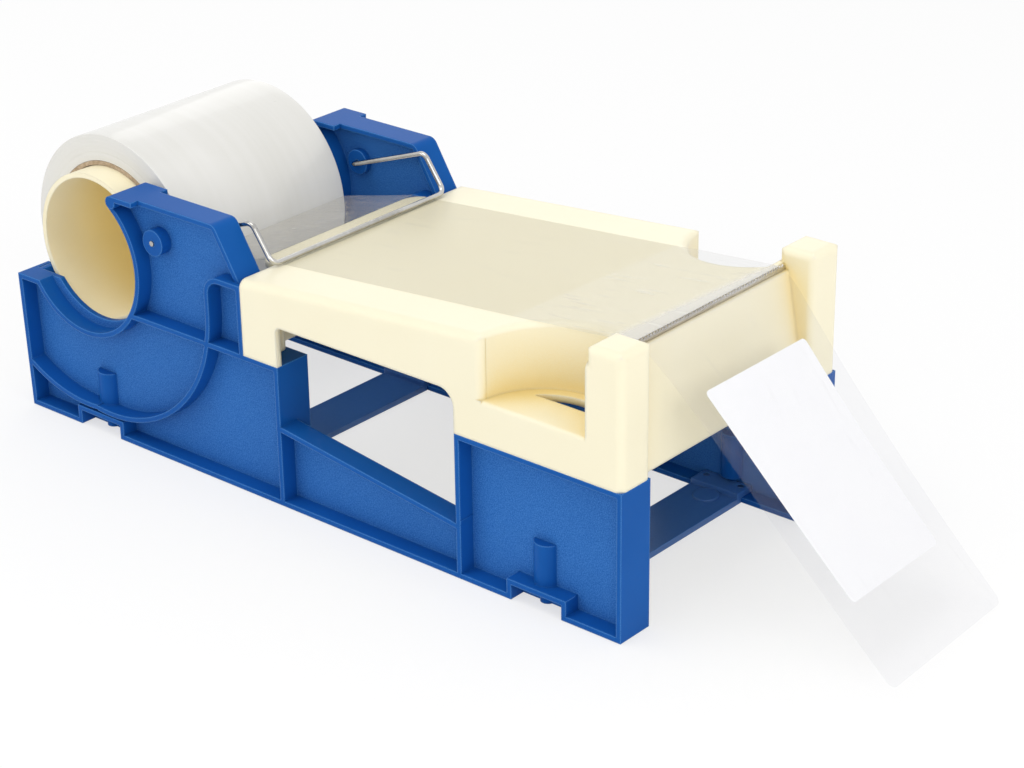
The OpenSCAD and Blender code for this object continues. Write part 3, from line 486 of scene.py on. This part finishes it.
# glow: the strength of the painted glow that lightens the roll's shaded side
rollFilm = woundFilm("rollFilm", dict(
    colour=linear(204, 203, 199), band=linear(200, 199, 194), bandScale=90.0, bandStretch=(0.05, 1, 0.05),
    bandSpan=(0.3, 0.7), bandDepth=0.0002, bump=0.008,
    air=linear(213, 212, 209), airScale=20.0, airSpan=(0.5, 0.75), airTint=0.4,
    turnScale=900.0, turnStretch=(1, 0.15, 1), turnSpread=0.015,
    rough=0.3, roughSpread=0.1, leastRough=0.04, ior=1.5, specular=0.5,
    coat=0.45, coatSpread=0.06, coatRough=0.06, glow=0.26))
print("finishes made")


# surfaces worked out as arrays

def putMesh(name, points, faces, uv, material, sharp=35.0):
    mesh = bpy.data.meshes.new(name)
    mesh.from_pydata(points.reshape(-1, 3).tolist(), [], faces.tolist())
    layer = mesh.uv_layers.new(name="flat")
    corner = np.empty(len(mesh.loops), np.int32)
    mesh.loops.foreach_get("vertex_index", corner)
    layer.data.foreach_set("uv", uv.reshape(-1, 2)[corner].astype(np.float32).ravel())
    mesh.polygons.foreach_set("use_smooth", np.ones(len(mesh.polygons), bool))
    mesh.set_sharp_from_angle(angle=math.radians(sharp))
    mesh.materials.append(material)
    mesh.validate()
    mesh.update()
    return addObject(name, mesh)


def gridFaces(rows, columns, closed=False):
    # quads of a grid; a closed one joins its last row and column to its first
    i, j = np.meshgrid(np.arange(rows if closed else rows - 1),
                       np.arange(columns if closed else columns - 1), indexing="ij")
    i2, j2 = (i + 1) % rows, (j + 1) % columns
    quads = [i * columns + j, i2 * columns + j, i2 * columns + j2, i * columns + j2]
    return np.stack(quads, -1).reshape(-1, 4)


def thinShell(name, middle, low, high, uv, material):
    # a sheet between two heights over its middle surface, closed round its rim
    rows, columns = middle.shape[:2]
    normal = np.cross(np.gradient(middle, axis=0), np.gradient(middle, axis=1))
    normal /= np.linalg.norm(normal, axis=-1, keepdims=True)
    turned = normal[..., 2].mean() < 0
    if turned:
        normal = -normal
    points = np.concatenate([(middle + normal * height).reshape(-1, 3) for height in (high, low)])
    count = rows * columns
    edge = np.concatenate([np.arange(columns), np.arange(1, rows) * columns + columns - 1,
                           (rows - 1) * columns + np.arange(columns - 2, -1, -1),
                           np.arange(rows - 2, 0, -1) * columns])
    after = np.roll(edge, -1)
    rim = np.stack([edge, after, after + count, edge + count], -1)
    top = gridFaces(rows, columns)
    faces = np.concatenate([top, top[:, ::-1] + count, rim])
    if turned:
        faces = faces[:, ::-1]
    return putMesh(name, points, faces, np.concatenate([uv.reshape(-1, 2)] * 2), material)


def narrowed(distance, radius):
    # how far a round corner pulls the edge in at a distance from the end
    e = np.clip(distance, 0, radius)
    return radius - np.sqrt(np.maximum(radius ** 2 - (radius - e) ** 2, 0))


# the wound film: a profile of radius against width, turned about the hub
woundRoll = dict(hub=(-0.142, 0.0871), outer=0.053, inner=0.0401, innerGap=0.0002, width=0.1016,
                 round=0.0004, roundSteps=6,
                 turns=58, step=0.00012, evened=5,  # end faces: rings, their wander, rings averaged together
                 across=24, swell=0.00006, swellTurn=9,  # outside: rings, depth and radians of its waves
                 around=224, sharp=50.0, seed=7)


def makeRoll(c):
    # both end faces wander a little from ring to ring, and the outside dips in shallow waves
    rng = np.random.default_rng(c["seed"])
    half = c["width"] / 2

    def wander():
        steps = rng.normal(0, 1, c["turns"] + c["evened"] - 1)
        return np.abs(np.convolve(steps, np.ones(c["evened"]) / c["evened"], "valid") * c["step"])

    side = np.linspace(c["inner"] + c["innerGap"], c["outer"] - c["round"], c["turns"])
    corner = np.linspace(0, math.pi / 2, c["roundSteps"])
    rim = c["outer"] - c["round"] + c["round"] * np.sin(corner)
    rimY = half - c["round"] + c["round"] * np.cos(corner)
    flat = np.linspace(-half + c["round"], half - c["round"], c["across"])[1:-1]
    swell = c["swell"] * np.abs(np.sin(np.linspace(0, c["swellTurn"], flat.size)))
    nearY = -half + wander()
    farY = half - wander()
    radius = np.concatenate([side, rim, c["outer"] - swell, rim[::-1], side[::-1]])[:, None]
    width = np.concatenate([nearY, -rimY, flat, rimY[::-1], farY[::-1]])[:, None] + np.zeros(c["around"])
    angle = np.linspace(0, 2 * math.pi, c["around"], endpoint=False)
    hubX, hubZ = c["hub"]
    points = np.stack([hubX + radius * np.cos(angle), width, hubZ + radius * np.sin(angle)], -1)
    uv = np.stack([width, c["outer"] * angle + np.zeros_like(width)], -1)
    faces = gridFaces(len(radius), c["around"], closed=True)
    roll = putMesh("woundRoll", points, faces, uv, rollFilm, c["sharp"])
    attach(roll, "roll")
    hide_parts("tape_roll")


makeRoll(woundRoll)

filmSize = dict(width=0.1016, thick=0.0002)
filmHalf = filmSize["thick"] / 2

# free film from the roll to the tongue: a straight pull with shallow creases; waves in radians per metre
freeFilm = dict(peel=(-0.08899, 0.09277), tongue=(-0.044, 0.10392), length=0.0463, rows=40, columns=120,
                ripple=0.00022, fadePower=0.8, wave=330, sway=1.3, swayWave=71, patchWave=47, patchShift=0.8,
                fineWave=790, fineDrift=2, fineShare=0.5)


def makeFreeFilm(c):
    # waves across the width, in patches, with finer waves on them, that fade out at both ends
    t, y = np.meshgrid(np.linspace(0, 1, c["rows"]),
                       np.linspace(-0.5, 0.5, c["columns"]) * filmSize["width"], indexing="ij")
    x = c["peel"][0] + (c["tongue"][0] - c["peel"][0]) * t
    z = c["peel"][1] + (c["tongue"][1] - c["peel"][1]) * t
    patches = 0.5 + 0.5 * np.sin(y * c["patchWave"] + c["patchShift"])
    crease = np.sin(y * c["wave"] + c["sway"] * np.sin(y * c["swayWave"])) * patches
    crease = crease + c["fineShare"] * np.sin(y * c["fineWave"] + c["fineDrift"] * t)
    z = z + np.sin(math.pi * t) ** c["fadePower"] * c["ripple"] * crease
    film = thinShell("freeFilm", np.stack([x, y, z], -1), -filmHalf, filmHalf,
                     np.stack([y, t * c["length"]], -1), filmWeb)
    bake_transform(film)
    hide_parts("tape_web")


makeFreeFilm(freeFilm)

# film on the table: stuck flat to the slope, then loose, with shallow creases, up to the cutter;
# waves in radians per metre
tableFilm = dict(start=-0.044, end=0.1665, tableEdge=0.1065, blade=0.163, foot=-0.032, height=0.1048,
                 slope=math.tan(math.radians(4.9)), length=0.2113, lift=0.00015, rows=170, columns=110,
                 crease=0.00016, creaseLift=1.4, waveX=95, waveY=150, sway=1.2, swayWave=60,
                 patchX=110, patchY=33, patchShare=0.4, fineX=170, fineY=420, fineShare=0.4)


def makeTableFilm(c):
    # slanting waves, in patches, with finer waves on them, that lift the film between table edge and blade
    x, y = np.meshgrid(np.linspace(c["start"], c["end"], c["rows"]),
                       np.linspace(-0.5, 0.5, c["columns"]) * filmSize["width"], indexing="ij")
    z = c["height"] + (x - c["foot"]) * c["slope"] + c["lift"]
    t = np.clip((x - c["tableEdge"]) / (c["blade"] - c["tableEdge"]), 0, 1)
    patches = 1 - c["patchShare"] + c["patchShare"] * np.sin(x * c["patchX"] + y * c["patchY"])
    slant = y * c["waveY"] + x * c["waveX"]
    crease = np.sin(slant + c["sway"] * np.sin(y * c["swayWave"])) * patches
    crease = crease + c["fineShare"] * np.sin(y * c["fineY"] - x * c["fineX"])
    z = z + np.sin(math.pi * t) * c["crease"] * (crease + c["creaseLift"])
    film = thinShell("tableFilm", np.stack([x, y, z], -1), -filmHalf, filmHalf,
                     np.stack([y, x], -1), filmTable)
    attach(film, "base")
    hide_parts("tape_strip")


makeTableFilm(tableFilm)

# hanging film: two bent edges with straight lines between them, and the label under it
hangingFilm = dict(start=(0.1666, 0.12197),
                   near=[(0.016, -0.0024), (0.038, -0.030), (0.1285, -0.11097)],
                   far=[(0.015, -0.006), (0.017, -0.027), (0.117, -0.12137)],
                   rows=120, columns=64, corner=0.004, cornerRows=12, measured=401)
blankLabel = dict(width=0.075, length=0.1016, start=0.0325, turn=2.5, corner=0.0025, cornerRows=9,
                  low=-0.0005, high=-0.0003, rows=70, columns=40)


def hangPoint(c, t, y):
    # a point of the film: each edge is a four-point curve, and the film is straight between them
    def edge(ends):
        p = [np.zeros(2)] + [np.array(q) for q in ends]
        s = t[..., None]
        return 3 * (1 - s) ** 2 * s * p[1] + 3 * (1 - s) * s ** 2 * p[2] + s ** 3 * p[3]
    k = (y / filmSize["width"] + 0.5)[..., None]
    flat = np.array(c["start"]) + (1 - k) * edge(c["near"]) + k * edge(c["far"])
    return np.stack([flat[..., 0], y, flat[..., 1]], -1)


def hangLength(c):
    # shares of the curve, and how far down the film's middle each one lies
    share = np.linspace(0, 1, c["measured"])
    run = hangPoint(c, share, np.zeros(c["measured"]))
    return share, np.concatenate([[0], np.cumsum(np.linalg.norm(np.diff(run, axis=0), axis=1))])


def makeHanging(c):
    # rows down the film, closer together where its lower corners are round
    share, length = hangLength(c)
    total = length[-1]
    bend = np.sin(np.linspace(0, math.pi / 2, c["cornerRows"] + 1)[1:])
    s = np.concatenate([np.linspace(0, total - c["corner"], c["rows"] - c["cornerRows"]),
                        total - c["corner"] * (1 - bend)])[:, None]
    y = (filmSize["width"] / 2 - narrowed(total - s, c["corner"])) * np.linspace(-1, 1, c["columns"])
    s = s + np.zeros_like(y)
    film = thinShell("hangingFilm", hangPoint(c, np.interp(s, length, share), y), -filmHalf, filmHalf,
                     np.stack([y, s], -1), filmTail)
    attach(film, "base")
    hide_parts("tape_tail")
    print("hanging film", round(float(total), 4), "m long")


def makeLabel(c, hang):
    # the same surface, a little lower, slightly turned, with four round corners
    share, length = hangLength(hang)
    bend = (1 - np.cos(np.linspace(0, math.pi / 2, c["cornerRows"]))) * c["corner"]
    s = np.concatenate([bend, np.linspace(c["corner"], c["length"] - c["corner"], c["rows"])[1:-1],
                        c["length"] - bend[::-1]])[:, None]
    away = np.minimum(s, c["length"] - s)
    y = (c["width"] / 2 - narrowed(away, c["corner"])) * np.linspace(-1, 1, c["columns"])
    s = s + np.zeros_like(y)
    down = c["start"] + s + y * math.tan(math.radians(c["turn"]))
    label = thinShell("blankLabel", hangPoint(hang, np.interp(down, length, share), y), c["low"], c["high"],
                      np.stack([y, s], -1), labelPaper)
    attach(label, "base")
    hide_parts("label")


makeHanging(hangingFilm)
makeLabel(blankLabel, hangingFilm)
print("film pieces made")


# CAD pieces that keep their shape

dressing = dict(left_side_panel=panelBlue, right_side_panel=panelBlue, front_cross_bar=barBluePaintedFill,
                rear_cross_bar=barBluePaintedFill, front_bar_screws=screwSteel, rear_bar_screws=screwSteel,
                top_cover=coverCream, cover_screws=screwSteel, cutter_blade=bladeSteel, wire_bail=wireSteel,
                hub_tube=tubeCream, paper_core=coreBoard)
for node, material in dressing.items():
    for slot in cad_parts[node].material_slots:
        slot.material = material
print("CAD pieces dressed:", len(dressing))
